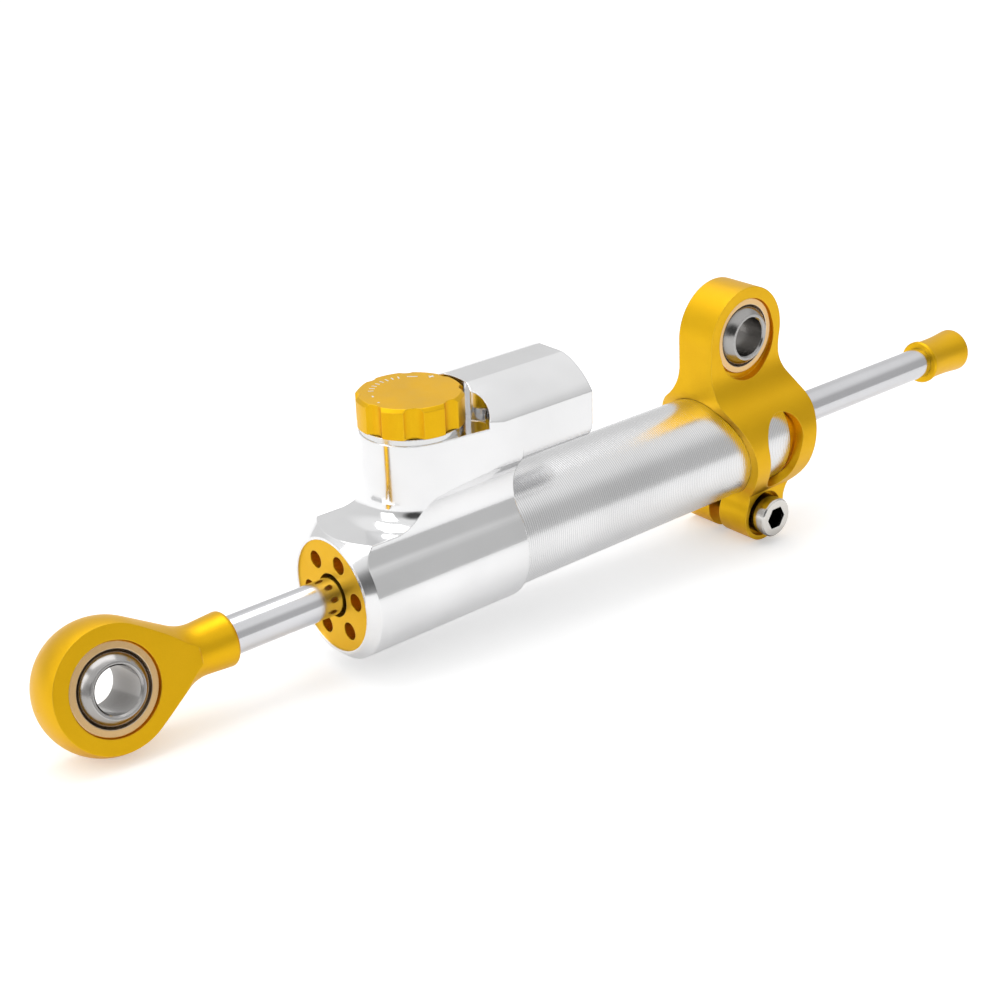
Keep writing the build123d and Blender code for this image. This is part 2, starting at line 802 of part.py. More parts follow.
def adjuster_spindle():
    """The spindle between the knob and the needle."""
    body = bar_up(spindle_radius, shank_bottom - running_gap, knob_base + spindle_grip, pillar_place)
    body += bar_up(spindle_collar_radius, collar_bottom + running_gap, shank_bottom - running_gap,
                   pillar_place)
    return body - bar_up(needle_stem_radius + running_gap, collar_bottom - overrun,
                         pocket_floor, pillar_place)


def metering_needle():
    """The tapered needle, its threaded body and its driven stem."""
    base, top = needle_body_place, needle_body_place + needle_body_length
    body = bar_up(valve_bore_radius - running_gap, base, top, pillar_place)
    body += bar_up(needle_stem_radius, top, needle_stem_top, pillar_place)
    tip = Cone(needle_tip_radius, needle_root_radius, needle_tip_length,
               align=(Align.CENTER, Align.CENTER, Align.MAX))
    return body + Pos(pillar_place, 0, base) * tip


def adjuster_knob():
    """The knob: lands and shallow valleys round it, and a chamfered upper rim."""
    low, rim = knob_radius - knob_chamfer, knob_height - knob_chamfer
    outline = [(0, 0), (knob_radius, 0), (knob_radius, rim), (low, knob_height), (0, knob_height)]
    body = revolve(Plane.XZ * make_face(Polyline(*outline, close=True)), Axis.Z)
    reach = knob_radius - knob_valley_depth + knob_valley_radius
    for turn in range(knob_valley_count):
        angle = radians(knob_valley_phase + 360 * turn / knob_valley_count)
        body -= Pos(0, reach * sin(angle), 0) * bar_up(knob_valley_radius, -overrun,
                                                       knob_height + overrun, reach * cos(angle))
    body -= bar_up(spindle_radius, -overrun, spindle_grip, 0)
    track = detent_ball_radius + knob_track_gap
    ring = bar_up(detent_circle + track, -overrun, knob_track_depth, 0)
    body -= ring - bar_up(detent_circle - track, -overrun, knob_track_depth, 0)
    return Pos(pillar_place, 0, knob_base) * body


def detent_place():
    return bonnet_top - detent_ball_radius / 2


def detent_ball():
    return Pos(pillar_place, -detent_circle, detent_place()) * Sphere(detent_ball_radius)


def detent_plunger():
    """The spring cartridge under the detent ball."""
    low = bonnet_top - detent_plunger_length
    body = bar_up(detent_ball_radius, low, detent_place(), pillar_place, -detent_circle)
    return body - Pos(pillar_place, -detent_circle, detent_place()) * Sphere(detent_ball_radius)


# Reservoir
def reservoir_ring_groove(middle):
    """A ring of space for a rubber ring round a piece in the reservoir bore."""
    half = small_o_ring_section / 2
    outer = rod_along(reservoir_radius + overrun, middle - half, middle + half, z=reservoir_height)
    inner = rod_along(reservoir_radius - small_o_ring_section, middle - half, middle + half,
                      z=reservoir_height)
    return outer - inner


def reservoir_ring(middle):
    """A rubber ring in the reservoir bore, a running gap clear of its wall."""
    radius = reservoir_radius - (small_o_ring_section + running_gap) / 2
    ring = Torus(radius, (small_o_ring_section - running_gap) / 2)
    return Pos(middle, 0, reservoir_height) * Rot(0, 90, 0) * ring


def reservoir_piston():
    front, rear = reservoir_piston_front, reservoir_piston_front + reservoir_piston_length
    body = rod_along(reservoir_radius - running_gap, front, rear, z=reservoir_height)
    return body - reservoir_ring_groove((front + rear) / 2)


def pclamp_lug_half_widths():
    rear = block_rear - plug_recess
    return rear - plug_length, rear


def reservoir_plug():
    """The plug that closes the reservoir, with a hexagon socket in its face."""
    front, rear = pclamp_lug_half_widths()
    body = rod_along(reservoir_radius, front, rear, z=reservoir_height)
    body -= reservoir_ring_groove(front + small_o_ring_section)
    socket = Rot(0, 90, 0) * hex_socket(plug_hex_across, plug_hex_depth)
    return body - Pos(rear, 0, reservoir_height) * socket


# Clamp
def clamp_side_face():
    """XZ outline: head, ring and lug on the far side, and a shoulder instead on the near side."""
    head = (clamp_head_place, clamp_head_height, clamp_head_radius)
    lug = (clamp_lug_place, clamp_lug_height, clamp_lug_radius)
    far = [
        head,
        (clamp_ring_place, clamp_ring_upper, clamp_ring_upper_radius),
        (clamp_ring_place, clamp_ring_lower, clamp_ring_lower_radius),
        lug,
    ]
    near = [
        head,
        (clamp_shoulder_place, clamp_shoulder_height, clamp_shoulder_radius),
        (clamp_near_place, clamp_ring_lower, clamp_ring_lower_radius),
        lug,
    ]
    near_blends = [None, clamp_near_blend, clamp_lug_blend]
    far_blends = [clamp_far_blend, None, clamp_lug_blend]
    return chain_face(far, near_blends, far_blends, near)


def clamp_front_face():
    """YZ outline: narrow head, hollow flare, ring and lug."""
    half = eye_width / 2
    centre_y = half + clamp_flare_radius
    centre_z = sqrt((clamp_ring_outer + clamp_flare_radius) ** 2 - centre_y ** 2)
    top = clamp_head_height + 2 * clamp_head_radius
    low = clamp_lug_height - 2 * clamp_lug_radius
    knee_z = -sqrt(clamp_ring_outer ** 2 - clamp_lug_half_width ** 2)
    edges = []
    for side in (-1, 1):
        centre = (side * centre_y, centre_z)
        start = (side * half, centre_z)
        join = towards((0, 0), centre, clamp_ring_outer)
        knee = (side * clamp_lug_half_width, knee_z)
        edges.append(Line((side * half, top), start))
        edges.append(ThreePointArc(start, towards(centre, halfway(start, join),
                                                  clamp_flare_radius), join))
        edges.append(ThreePointArc(join, (side * clamp_ring_outer, 0), knee))
        edges.append(Line(knee, (side * clamp_lug_half_width, low)))
    edges.append(Line((-half, top), (half, top)))
    edges.append(Line((-clamp_lug_half_width, low), (clamp_lug_half_width, low)))
    return make_face(edges)


def window_face():
    upper = (clamp_ring_place, window_upper, window_upper_radius)
    lower = (clamp_ring_place, window_lower, window_lower_radius)
    return chain_face([upper, lower], [None], [None])


def tube_clamp():
    """The clamp: bearing head, ring with a window each side, split lug.

    The bearing's hole has a shallow relief on each face, a little below it.
    """
    wide = 2 * clamp_ring_outer
    near = clamp_head_place - 2 * clamp_ring_upper_radius
    far = clamp_ring_place + 2 * clamp_ring_upper_radius
    body = across_y(clamp_side_face(), -wide, wide) & along_x(clamp_front_face(), near, far)
    body -= rod_along(tube_radius + running_gap, near, far)
    body -= across_y(window_face(), -wide, wide)
    body -= bar_across(race_outer_radius, -wide, wide, clamp_head_place, clamp_head_height)
    relief = (clamp_head_place + race_relief_shift, clamp_head_height - race_relief_drop)
    floor = eye_width / 2 - race_relief_depth
    body -= bar_across(race_outer_radius, -wide, -floor, *relief)
    body -= bar_across(race_outer_radius, floor, wide, *relief)
    slot = Box(far - near, clamp_slot_width, wide, align=(Align.CENTER, Align.CENTER, Align.MAX))
    body -= Pos(clamp_ring_place, 0, 0) * slot
    place = (clamp_lug_place, clamp_lug_height)
    body -= bar_across(bolt_seat_radius, -clamp_lug_half_width - overrun, bolt_seat_place, *place)
    body -= bar_across(bolt_radius + bolt_hole_gap, bolt_seat_place - overrun, 0, *place)
    return body - bar_across(bolt_radius, 0, wide, *place)


def clamp_bolt():
    """The socket head screw that pinches the lug."""
    head = Cylinder(bolt_head_radius, bolt_head_height, align=(Align.CENTER, Align.CENTER, Align.MIN))
    head = chamfer(head.edges().filter_by(GeomType.CIRCLE).sort_by(Axis.Z)[-1], bolt_edge)
    socket = Pos(0, 0, bolt_head_height) * hex_socket(bolt_hex_across, bolt_hex_depth)
    shank = Cylinder(bolt_radius, clamp_lug_half_width - bolt_seat_place - bolt_end_inset,
                     align=(Align.CENTER, Align.CENTER, Align.MAX))
    screw = Rot(90, 0, 0) * (head + shank - socket)
    return Pos(clamp_lug_place, bolt_seat_place, clamp_lug_height) * screw


def at_clamp(piece):
    return Pos(clamp_head_place, 0, clamp_head_height) * piece


def pieces():
    """Every piece of the damper, by name."""
    plug_front = pclamp_lug_half_widths()[0]
    return {
        "housing": housing(),
        "cylinder_tube": cylinder_tube(),
        "liner_tube": liner_tube(),
        "front_gland": front_gland(),
        "rear_gland": rear_gland(),
        "front_bush": Pos(gland_face, 0, 0) * rod_bush(),
        "rear_bush": rear_side(rod_bush()),
        "front_rod_seal": Pos(gland_face, 0, 0) * rod_seal(),
        "rear_rod_seal": rear_side(rod_seal()),
        "front_gland_o_ring": Pos(gland_face, 0, 0) * gland_seal_ring(gland_flange_length),
        "rear_gland_o_ring": rear_side(gland_seal_ring(rear_flange_length)),
        "valve_bonnet": valve_bonnet(),
        "bonnet_o_ring": valve_ring(bonnet_shank_radius - small_o_ring_section / 2),
        "spindle_o_ring": valve_ring(spindle_radius + running_gap + small_o_ring_section / 2),
        "detent_ball": detent_ball(),
        "detent_plunger": detent_plunger(),
        "reservoir_plug": reservoir_plug(),
        "reservoir_plug_o_ring": reservoir_ring(plug_front + small_o_ring_section),
        "reservoir_piston": reservoir_piston(),
        "reservoir_piston_o_ring": reservoir_ring(reservoir_piston_front + reservoir_piston_length / 2),
        "adjuster_knob": adjuster_knob(),
        "adjuster_spindle": adjuster_spindle(),
        "metering_needle": metering_needle(),
        "tube_clamp": tube_clamp(),
        "clamp_bolt": clamp_bolt(),
        "clamp_bearing_race": at_clamp(bearing_race()),
        "clamp_bearing_ball": at_clamp(bearing_ball()),
        "piston": piston(),
        "piston_ring": piston_ring(),
        "damper_rod": damper_rod(),
        "piston_circlips": piston_circlips(),
        "rod_end": rod_end(),
        "rod_end_race": turned_eye(bearing_race()),
        "rod_end_ball": turned_eye(bearing_ball()),
        "tail_cap": tail_cap(),
    }


os.makedirs("parts", exist_ok=True)
for name, piece in pieces().items():
    export_step(piece, f"parts/{name}.step")
    print(f"{name}: {len(piece.solids())} solid(s), {piece.volume:.1f} mm3")
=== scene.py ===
# %% [markdown]
# # A steering damper on a white table
# The CAD model is loaded as a fixed frame. Its pieces keep their shapes and places here,
# and this script gives them their finishes, a camera, a table and soft studio light.

import json
from math import cos, pi, radians, sin

import bpy
from mathutils import Matrix, Vector


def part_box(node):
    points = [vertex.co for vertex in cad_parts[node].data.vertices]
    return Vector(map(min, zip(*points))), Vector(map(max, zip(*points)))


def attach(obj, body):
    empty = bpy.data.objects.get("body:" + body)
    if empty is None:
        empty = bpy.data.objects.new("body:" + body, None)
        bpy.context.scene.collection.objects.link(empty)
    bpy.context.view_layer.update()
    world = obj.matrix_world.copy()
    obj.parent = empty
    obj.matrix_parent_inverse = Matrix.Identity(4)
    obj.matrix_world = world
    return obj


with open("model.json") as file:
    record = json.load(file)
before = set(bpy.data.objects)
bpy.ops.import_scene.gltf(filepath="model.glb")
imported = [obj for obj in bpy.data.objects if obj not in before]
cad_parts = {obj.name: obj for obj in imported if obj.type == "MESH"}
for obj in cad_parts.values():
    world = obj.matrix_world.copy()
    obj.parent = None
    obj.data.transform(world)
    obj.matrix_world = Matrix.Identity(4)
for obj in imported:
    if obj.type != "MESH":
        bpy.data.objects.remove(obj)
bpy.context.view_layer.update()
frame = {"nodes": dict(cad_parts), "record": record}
mm = 0.001

# %% [markdown]
# ## Camera
# The photograph was taken with a short telephoto lens, from in front of the rod end and above.
# The place and the three angles were worked out from round edges whose real shape is known.

# %% Camera
view_place = Vector((-100.69, -221.15, 139.54)) * mm
view_yaw, view_pitch, view_roll = radians(39.93), radians(-24.85), radians(-1.63)
lens_length, sensor_width = 60.5, 36.0

ahead = Vector((sin(view_yaw) * cos(view_pitch), cos(view_yaw) * cos(view_pitch), sin(view_pitch)))
level = ahead.cross(Vector((0, 0, 1))).normalized()
above = level.cross(ahead)
right = level * cos(view_roll) + above * sin(view_roll)
upward = above * cos(view_roll) - level * sin(view_roll)

camera_data = bpy.data.cameras.new("camera")
camera_data.lens = lens_length
camera_data.sensor_width = sensor_width
camera_data.clip_start = 0.01
camera = bpy.data.objects.new("camera", camera_data)
turn = Matrix((right, upward, -ahead)).transposed()
camera.matrix_world = Matrix.Translation(view_place) @ turn.to_4x4()
bpy.context.scene.collection.objects.link(camera)
bpy.context.scene.camera = camera
bpy.context.scene.view_settings.view_transform = "Standard"
print("camera stands", round(view_place.length, 3), "m from the rod end")

# %% [markdown]
# ## Helpers for materials
# A procedural material is a small graph. `add` makes one node and joins its inputs in one line:
# an input that gets another node's output is linked, and any other value is set on the socket.

# %% Material helpers
edge_radius = 0.25 * mm
edge_match = 0.80, 0.985
grain_scale = 9000.0


def add(tree, kind, inputs=None, **settings):
    """A new node, its settings made and its inputs set or linked."""
    node = tree.nodes.new(kind)
    for name, value in settings.items():
        setattr(node, name, value)
    for name, value in (inputs or {}).items():
        socket = node.inputs[name]
        if isinstance(value, bpy.types.NodeSocket):
            tree.links.new(value, socket)
        else:
            socket.default_value = value
    return node


def new_material(name):
    """An empty material with a Principled shader joined to its output."""
    material = bpy.data.materials.new(name)
    material.use_nodes = True
    tree = material.node_tree
    tree.nodes.clear()
    shader = add(tree, "ShaderNodeBsdfPrincipled")
    add(tree, "ShaderNodeOutputMaterial", {"Surface": shader.outputs["BSDF"]})
    return material, tree, shader


def stretched(tree, scale):
    """Object coordinates, stretched by a scale for each axis."""
    place = add(tree, "ShaderNodeTexCoord").outputs["Object"]
    return add(tree, "ShaderNodeMapping", {"Vector": place, "Scale": scale}).outputs["Vector"]


def noise(tree, scale, detail=3.0, rough=0.55, grow=(1, 1, 1)):
    """Soft random values from 0 to 1. The scale is in features a metre."""
    vector = stretched(tree, grow)
    node = add(tree, "ShaderNodeTexNoise", {"Vector": vector, "Scale": scale, "Detail": detail,
                                            "Roughness": rough})
    return node.outputs["Fac"]


def spread(tree, value, low, high, start=0.3, end=0.7):
    """A value from start to end, spread between low and high."""
    node = add(tree, "ShaderNodeMapRange", {"Value": value, "From Min": start, "From Max": end,
                                            "To Min": low, "To Max": high})
    return node.outputs["Result"]


def blend_colours(tree, share, first, second):
    """The first colour where the share is 0 and the second where it is 1."""
    node = add(tree, "ShaderNodeMix", data_type="RGBA")
    for socket, value in ((node.inputs[0], share), (node.inputs[6], first), (node.inputs[7], second)):
        if isinstance(value, bpy.types.NodeSocket):
            tree.links.new(value, socket)
        else:
            socket.default_value = value if isinstance(value, float) else (*value, 1.0)
    return node.outputs[2]


def bump(tree, height, depth, under=None):
    """Turns a height from 0 to 1 into a normal. The depth is in metres."""
    inputs = {"Height": height, "Distance": depth, "Strength": 1.0}
    if under:
        inputs["Normal"] = under
    return add(tree, "ShaderNodeBump", inputs).outputs["Normal"]


def soft_edges(tree, radius):
    """A normal that rounds sharp edges, and a share that is 1 on an edge and 0 elsewhere."""
    rounded = add(tree, "ShaderNodeBevel", {"Radius": radius}, samples=6).outputs["Normal"]
    straight = add(tree, "ShaderNodeNewGeometry").outputs["Normal"]
    match = add(tree, "ShaderNodeVectorMath", {0: rounded, 1: straight}, operation="DOT_PRODUCT")
    edge = spread(tree, match.outputs["Value"], 1.0, 0.0, *edge_match)
    return rounded, edge


print("sharp edges look rounded by", edge_radius / mm, "mm")

# %% [markdown]
# ## Gold anodised aluminium
# The rod end, gland, knob, clamp and tail cap are machined, then blasted to an even matte and
# anodised gold. The coat is a metal colour with a grain as fine as sand. Where hands and tools
# rub, the edges are a little paler, and the sheen changes slowly from place to place.

# %% Gold
gold_colour = (0.86, 0.50, 0.013)
gold_edge = (0.97, 0.68, 0.09)
gold_shade = (0.82, 0.465, 0.010)
gold_cloud_scale, gold_speckle_scale, gold_speckle = 60.0, 5000.0, 0.3
gold_rub_scale, gold_sheen_scale = 900.0, 250.0
gold_roughness = 0.36, 0.46
blast_depth, turned_depth = 0.012 * mm, 0.006 * mm
turned_stretch = 6000, 60, 60


def gold_anodised(name, lines=0.0):
    """The gold coat over a blasted surface, with turned lines round X where asked."""
    material, tree, shader = new_material(name)
    edge_normal, edge = soft_edges(tree, edge_radius)
    cloud = spread(tree, noise(tree, gold_cloud_scale), 0.0, 1.0)
    speckle = spread(tree, noise(tree, gold_speckle_scale, 1.0), -gold_speckle, gold_speckle)
    share = add(tree, "ShaderNodeMath", {0: cloud, 1: speckle}, operation="ADD", use_clamp=True)
    body_colour = blend_colours(tree, share.outputs["Value"], gold_shade, gold_colour)
    rubbed = spread(tree, noise(tree, gold_rub_scale), 0.2, 0.8)
    worn = add(tree, "ShaderNodeMath", {0: edge, 1: rubbed}, operation="MULTIPLY").outputs["Value"]
    colour = blend_colours(tree, worn, body_colour, gold_edge)
    grain = noise(tree, grain_scale, 2.0)
    tree.links.new(colour, shader.inputs["Base Color"])
    tree.links.new(spread(tree, noise(tree, gold_sheen_scale), *gold_roughness),
                   shader.inputs["Roughness"])
    normal = bump(tree, grain, blast_depth, edge_normal)
    if lines:
        normal = bump(tree, noise(tree, 1.0, 2.0, 0.6, turned_stretch), lines, normal)
    tree.links.new(normal, shader.inputs["Normal"])
    shader.inputs["Metallic"].default_value = 1.0
    return material


gold = gold_anodised("gold_anodised")
gold_turned = gold_anodised("gold_turned", turned_depth)
print("gold:", gold.name, gold_turned.name)

# %% [markdown]
# ## Bright and satin aluminium
# The billet is milled and buffed until it mirrors the white studio, with faint cutter lines left
# in it. The tube is turned instead: a fine thread of lines runs round it and softens its shine.

# %% Aluminium
thread_pitch, thread_depth = 0.5 * mm, 0.010 * mm
thread_shade, thread_colour = 0.28, (0.36, 0.36, 0.37)
hollow_shade_reach, hollow_shade_low, hollow_shade_high = 8 * mm, 0.35, 0.8
cloud_scale, cloud_shade, rubbed_colour = 45.0, 0.9, (0.97, 0.97, 0.97)
metal_grain_depth = 0.001 * mm


def bare_metal(name, colour, roughness, grow, lines, line_depth, rounding=edge_radius,
               threaded=False, painted_hollow_shade=None):
    """Bare metal with cutter lines across the direction in which they repeat.

    Threaded metal has the even lines of a turning tool, round the X axis. A painted hollow
    shade darkens the colour down in sockets and bores, where little light gets in.
    """
    material, tree, shader = new_material(name)
    edge_normal, edge = soft_edges(tree, rounding)
    cloud = spread(tree, noise(tree, cloud_scale), 0.0, 1.0)
    darker = tuple(value * cloud_shade for value in colour)
    body_colour = blend_colours(tree, cloud, darker, colour)
    # Painted shade: where ambient occlusion finds the surface closed in, the colour darkens towards
    # the hollow shade.
    if painted_hollow_shade:
        open_to_light = add(tree, "ShaderNodeAmbientOcclusion", {"Distance": hollow_shade_reach}).outputs["AO"]
        body_colour = blend_colours(tree, spread(tree, open_to_light, 0.0, 1.0, hollow_shade_low, hollow_shade_high),
                                    painted_hollow_shade, body_colour)
    if threaded:
        thread = add(tree, "ShaderNodeTexWave", {
            "Vector": add(tree, "ShaderNodeTexCoord").outputs["Object"],
            "Scale": pi / (10 * thread_pitch), "Distortion": 0.6, "Detail": 1.0,
            "Detail Scale": 0.4}, bands_direction="X").outputs["Fac"]
        body_colour = blend_colours(tree, spread(tree, thread, 0.0, thread_shade), body_colour,
                                    thread_colour)
    tree.links.new(blend_colours(tree, edge, body_colour, rubbed_colour),
                   shader.inputs["Base Color"])
    streaks = noise(tree, lines, 3.0, 0.65, grow)
    low, high = roughness
    tree.links.new(spread(tree, streaks, low, high), shader.inputs["Roughness"])
    normal = bump(tree, streaks, line_depth, edge_normal)
    if threaded:
        normal = bump(tree, thread, thread_depth, normal)
    normal = bump(tree, noise(tree, grain_scale, 1.0), metal_grain_depth, normal)
    tree.links.new(normal, shader.inputs["Normal"])
    shader.inputs["Metallic"].default_value = 1.0
    return material


buffed = bare_metal("buffed_aluminium", (0.91, 0.91, 0.915), (0.07, 0.15), (0.05, 0.05, 1), 4000.0,
                    0.0006 * mm, 0.35 * mm)
satin = bare_metal("satin_aluminium", (0.92, 0.92, 0.925), (0.20, 0.28), (1, 0.05, 0.05), 6000.0,
                   0.0002 * mm, threaded=True)
machined = bare_metal("machined_aluminium", (0.82, 0.82, 0.82), (0.16, 0.26), (1, 0.2, 0.2),
                      6000.0, 0.002 * mm)
print("aluminium:", buffed.name, satin.name, machined.name)

# %% [markdown]
# ## Steel, bronze and rubber
# The rod is chromed and ground, the bearing balls are polished steel and darker than the
# aluminium beside them, the races are pale bronze, and the rings inside are black rubber.

# %% Steel, bronze and rubber
chromed = bare_metal("chromed_steel", (0.74, 0.74, 0.76), (0.10, 0.20), (1, 0.02, 0.02), 5000.0,
                     0.0012 * mm)
# Painted shade darkens the ball's bore and the bolt's hex socket, deepest inside.
ball_steel = bare_metal("ball_steel", (0.42, 0.41, 0.40), (0.14, 0.24), (0.1, 1, 0.1), 5000.0,
                        0.0012 * mm, painted_hollow_shade=(0.17, 0.16, 0.15))
bolt_steel = bare_metal("bolt_steel", (0.74, 0.72, 0.69), (0.12, 0.20), (0.2, 1, 0.2), 4000.0,
                        0.001 * mm, painted_hollow_shade=(0.06, 0.055, 0.05))
bronze = bare_metal("bronze", (0.80, 0.53, 0.25), (0.20, 0.26), (0.1, 1, 0.1), 5000.0, 0.0007 * mm)
rubber_dark, rubber_pale = (0.012, 0.012, 0.012), (0.03, 0.03, 0.03)
mould_depth = 0.01 * mm


def moulded_rubber():
    """Black rubber with a fine mould grain."""
    material, tree, shader = new_material("black_rubber")
    tree.links.new(blend_colours(tree, noise(tree, 800.0), rubber_dark, rubber_pale),
                   shader.inputs["Base Color"])
    tree.links.new(spread(tree, noise(tree, 2000.0), 0.45, 0.65), shader.inputs["Roughness"])
    tree.links.new(bump(tree, noise(tree, 6000.0), mould_depth), shader.inputs["Normal"])
    return material


rubber = moulded_rubber()
print("steel, bronze and rubber:", chromed.name, ball_steel.name, bolt_steel.name, bronze.name,
      rubber.name)

# %% Give each CAD piece its finish
finish_of_slot = {
    "gold_anodised": gold,
    "buffed_aluminium": buffed,
    "satin_aluminium": satin,
    "machined_aluminium": machined,
    "ground_steel": bolt_steel,
    "polished_steel": ball_steel,
    "chromed_steel": chromed,
    "bearing_bronze": bronze,
    "black_rubber": rubber,
}
for entry in frame["record"]["subparts"]:
    node = frame["nodes"][entry["node"]]
    node.data.materials.clear()
    node.data.materials.append(finish_of_slot[entry["material_slot"]])
for name in ("tail_cap", "front_gland", "rear_gland"):
    frame["nodes"][name].data.materials[0] = gold_turned
print("finishes:", len(finish_of_slot))

# %% [markdown]
# ## Marks on the knob
# The dial's marks are cut through the gold coat by a laser and show bright metal. A minus and a
# plus stand beside a row of ticks, with a short dash and a dot further round. The ticks follow
# an arc, so Geometry Nodes place them: a curve is cut into even points, and each point gets one
# small bar that points to the centre.

# %% Marks on the knob
knob_low, knob_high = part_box("adjuster_knob")
knob_centre = (knob_low + knob_high) / 2
mark_lift = 0.01 * mm
mark_circle = 6.8 * mm
tick_length, tick_width = 1.0 * mm, 0.26 * mm
tick_from, tick_turn, tick_count = radians(69), radians(70), 8
etched_dark, etched_pale, etched_depth = (0.72, 0.70, 0.64), (0.92, 0.91, 0.88), 0.004 * mm


def etched_metal():
    """Bright metal under the coat, a little uneven as a laser leaves it."""
    material, tree, shader = new_material("etched_metal")
    tree.links.new(blend_colours(tree, noise(tree, 6000.0), etched_dark, etched_pale),
                   shader.inputs["Base Color"])
    tree.links.new(spread(tree, noise(tree, 4000.0), 0.45, 0.6), shader.inputs["Roughness"])
    tree.links.new(bump(tree, noise(tree, 9000.0), etched_depth), shader.inputs["Normal"])
    shader.inputs["Metallic"].default_value = 0.6
    return material


def tick_tree(etched):
    """Bars at even points of an arc, each turned towards the arc's centre."""
    tree = bpy.data.node_groups.new("dial_ticks", "GeometryNodeTree")
    tree.interface.new_socket("Geometry", in_out="OUTPUT", socket_type="NodeSocketGeometry")
    for name in ("Radius", "Start", "Turn", "Length", "Width"):
        tree.interface.new_socket(name, in_out="INPUT", socket_type="NodeSocketFloat")
    tree.interface.new_socket("Count", in_out="INPUT", socket_type="NodeSocketInt")
    given = add(tree, "NodeGroupInput").outputs
    arc = add(tree, "GeometryNodeCurveArc", {"Resolution": given["Count"], "Radius": given["Radius"],
                                             "Start Angle": given["Start"],
                                             "Sweep Angle": given["Turn"]})
    points = add(tree, "GeometryNodeCurveToPoints", {"Curve": arc.outputs["Curve"]}, mode="EVALUATED")
    bar = add(tree, "GeometryNodeMeshGrid", {"Size X": given["Width"], "Size Y": given["Length"],
                                             "Vertices X": 2, "Vertices Y": 2})
    turned = add(tree, "FunctionNodeAlignRotationToVector",
                 {"Vector": add(tree, "GeometryNodeInputPosition").outputs["Position"]}, axis="Y",
                 pivot_axis="Z")
    bars = add(tree, "GeometryNodeInstanceOnPoints", {
        "Points": points.outputs["Points"], "Instance": bar.outputs["Mesh"],
        "Rotation": turned.outputs["Rotation"]})
    real = add(tree, "GeometryNodeRealizeInstances", {"Geometry": bars.outputs["Instances"]})
    dressed = add(tree, "GeometryNodeSetMaterial", {"Geometry": real.outputs["Geometry"],
                                                    "Material": etched})
    add(tree, "NodeGroupOutput", {"Geometry": dressed.outputs["Geometry"]})
    return tree


def as_mesh(tree, name, inputs):
    """Runs a node tree on an empty mesh and keeps the result as a plain object."""
    holder = bpy.data.objects.new(name, bpy.data.meshes.new(name))
    bpy.context.scene.collection.objects.link(holder)
    modifier = holder.modifiers.new(name, "NODES")
    modifier.node_group = tree
    for item in tree.interface.items_tree:
        if item.in_out == "INPUT" and item.name in inputs:
            modifier[item.identifier] = inputs[item.name]
    bpy.context.view_layer.update()
    shown = holder.evaluated_get(bpy.context.evaluated_depsgraph_get())
    mesh = bpy.data.meshes.new_from_object(shown)
    holder.modifiers.clear()
    holder.data = mesh
    return holder


etched = etched_metal()
ticks = as_mesh(tick_tree(etched), "knob_ticks", {
    "Radius": mark_circle, "Start": tick_from, "Turn": tick_turn, "Length": tick_length,
    "Width": tick_width, "Count": tick_count})
face_centre = Vector((knob_centre.x, knob_centre.y, knob_high.z + mark_lift))
ticks.data.transform(Matrix.Translation(face_centre))
print("ticks:", len(ticks.data.polygons))

# %% Plus, minus, short dash and index dot
sign_arm, sign_width, dot_size = 1.2 * mm, 0.3 * mm, 0.36 * mm
minus_length, dash_length = 1.6 * sign_arm, 0.6 * sign_arm
outer_circle = 7.5 * mm
plus_angle, minus_angle = radians(21), radians(48)
dash_angle, dot_angle = radians(162), radians(187)


def on_dial(outline, circle, angle):
    """Corners round a point of a circle on the knob's face, turned to look outwards."""
    spin = Matrix.Rotation(angle, 3, "Z")
    return [face_centre + spin @ Vector((circle + x, y, 0)) for x, y in outline]


def bar_outline(length, width):
    """The four corners of a bar round the origin."""
    x, y = width / 2, length / 2
    return [(-x, -y), (x, -y), (x, y), (-x, y)]


def plus_outline(arm, width):
    """The twelve corners of a plus sign round the origin."""
    reach, half = arm / 2, width / 2
    return [(reach, -half), (reach, half), (half, half), (half, reach), (-half, reach),
            (-half, half), (-reach, half), (-reach, -half), (-half, -half), (-half, -reach),
            (half, -reach), (half, -half)]


shapes = [on_dial(plus_outline(sign_arm, sign_width), outer_circle, plus_angle),
          on_dial(bar_outline(minus_length, sign_width), mark_circle, minus_angle),
          on_dial(bar_outline(dash_length, sign_width), mark_circle, dash_angle),
          on_dial(bar_outline(dot_size, dot_size), outer_circle, dot_angle)]
points = [point for shape in shapes for point in shape]
starts = [sum(len(shape) for shape in shapes[:n]) for n in range(len(shapes))]
faces = [tuple(range(start, start + len(shape))) for start, shape in zip(starts, shapes)]
sign_mesh = bpy.data.meshes.new("knob_signs")
sign_mesh.from_pydata(points, [], faces)
signs = bpy.data.objects.new("knob_signs", sign_mesh)
bpy.context.scene.collection.objects.link(signs)
sign_mesh.materials.append(etched)
for piece in (ticks, signs):
    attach(piece, "knob")
print("signs:", len(shapes))

# %% [markdown]
# ## Table
# The damper lies on white board and touches it with the rod end and with the clamp's lug, below
# the bolt, so the board is tilted a little in the damper's frame. The camera sees it near white,
# and it keeps the soft shadow below the part.

# %% Table
eye_low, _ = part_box("rod_end")
lug_low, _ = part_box("tube_clamp")
front_touch = Vector((0, 0, eye_low.z))
bolt_low, bolt_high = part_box("clamp_bolt")
rear_touch = Vector(((bolt_low.x + bolt_high.x) / 2, 0, lug_low.z))
slope = (rear_touch - front_touch).normalized()
table_half = 6.0
board_glow, board_reflected_glow = 0.40, 0.20
board_dark, board_pale = (0.80, 0.80, 0.80), (0.84, 0.84, 0.84)

table_mesh = bpy.data.meshes.new("table")
corners = [front_touch + slope * (x * table_half) + Vector((0, y * table_half, 0))
           for x, y in ((-1, -1), (1, -1), (1, 1), (-1, 1))]
table_mesh.from_pydata(corners, [], [(0, 1, 2, 3)])
table = bpy.data.objects.new("table", table_mesh)
bpy.context.scene.collection.objects.link(table)


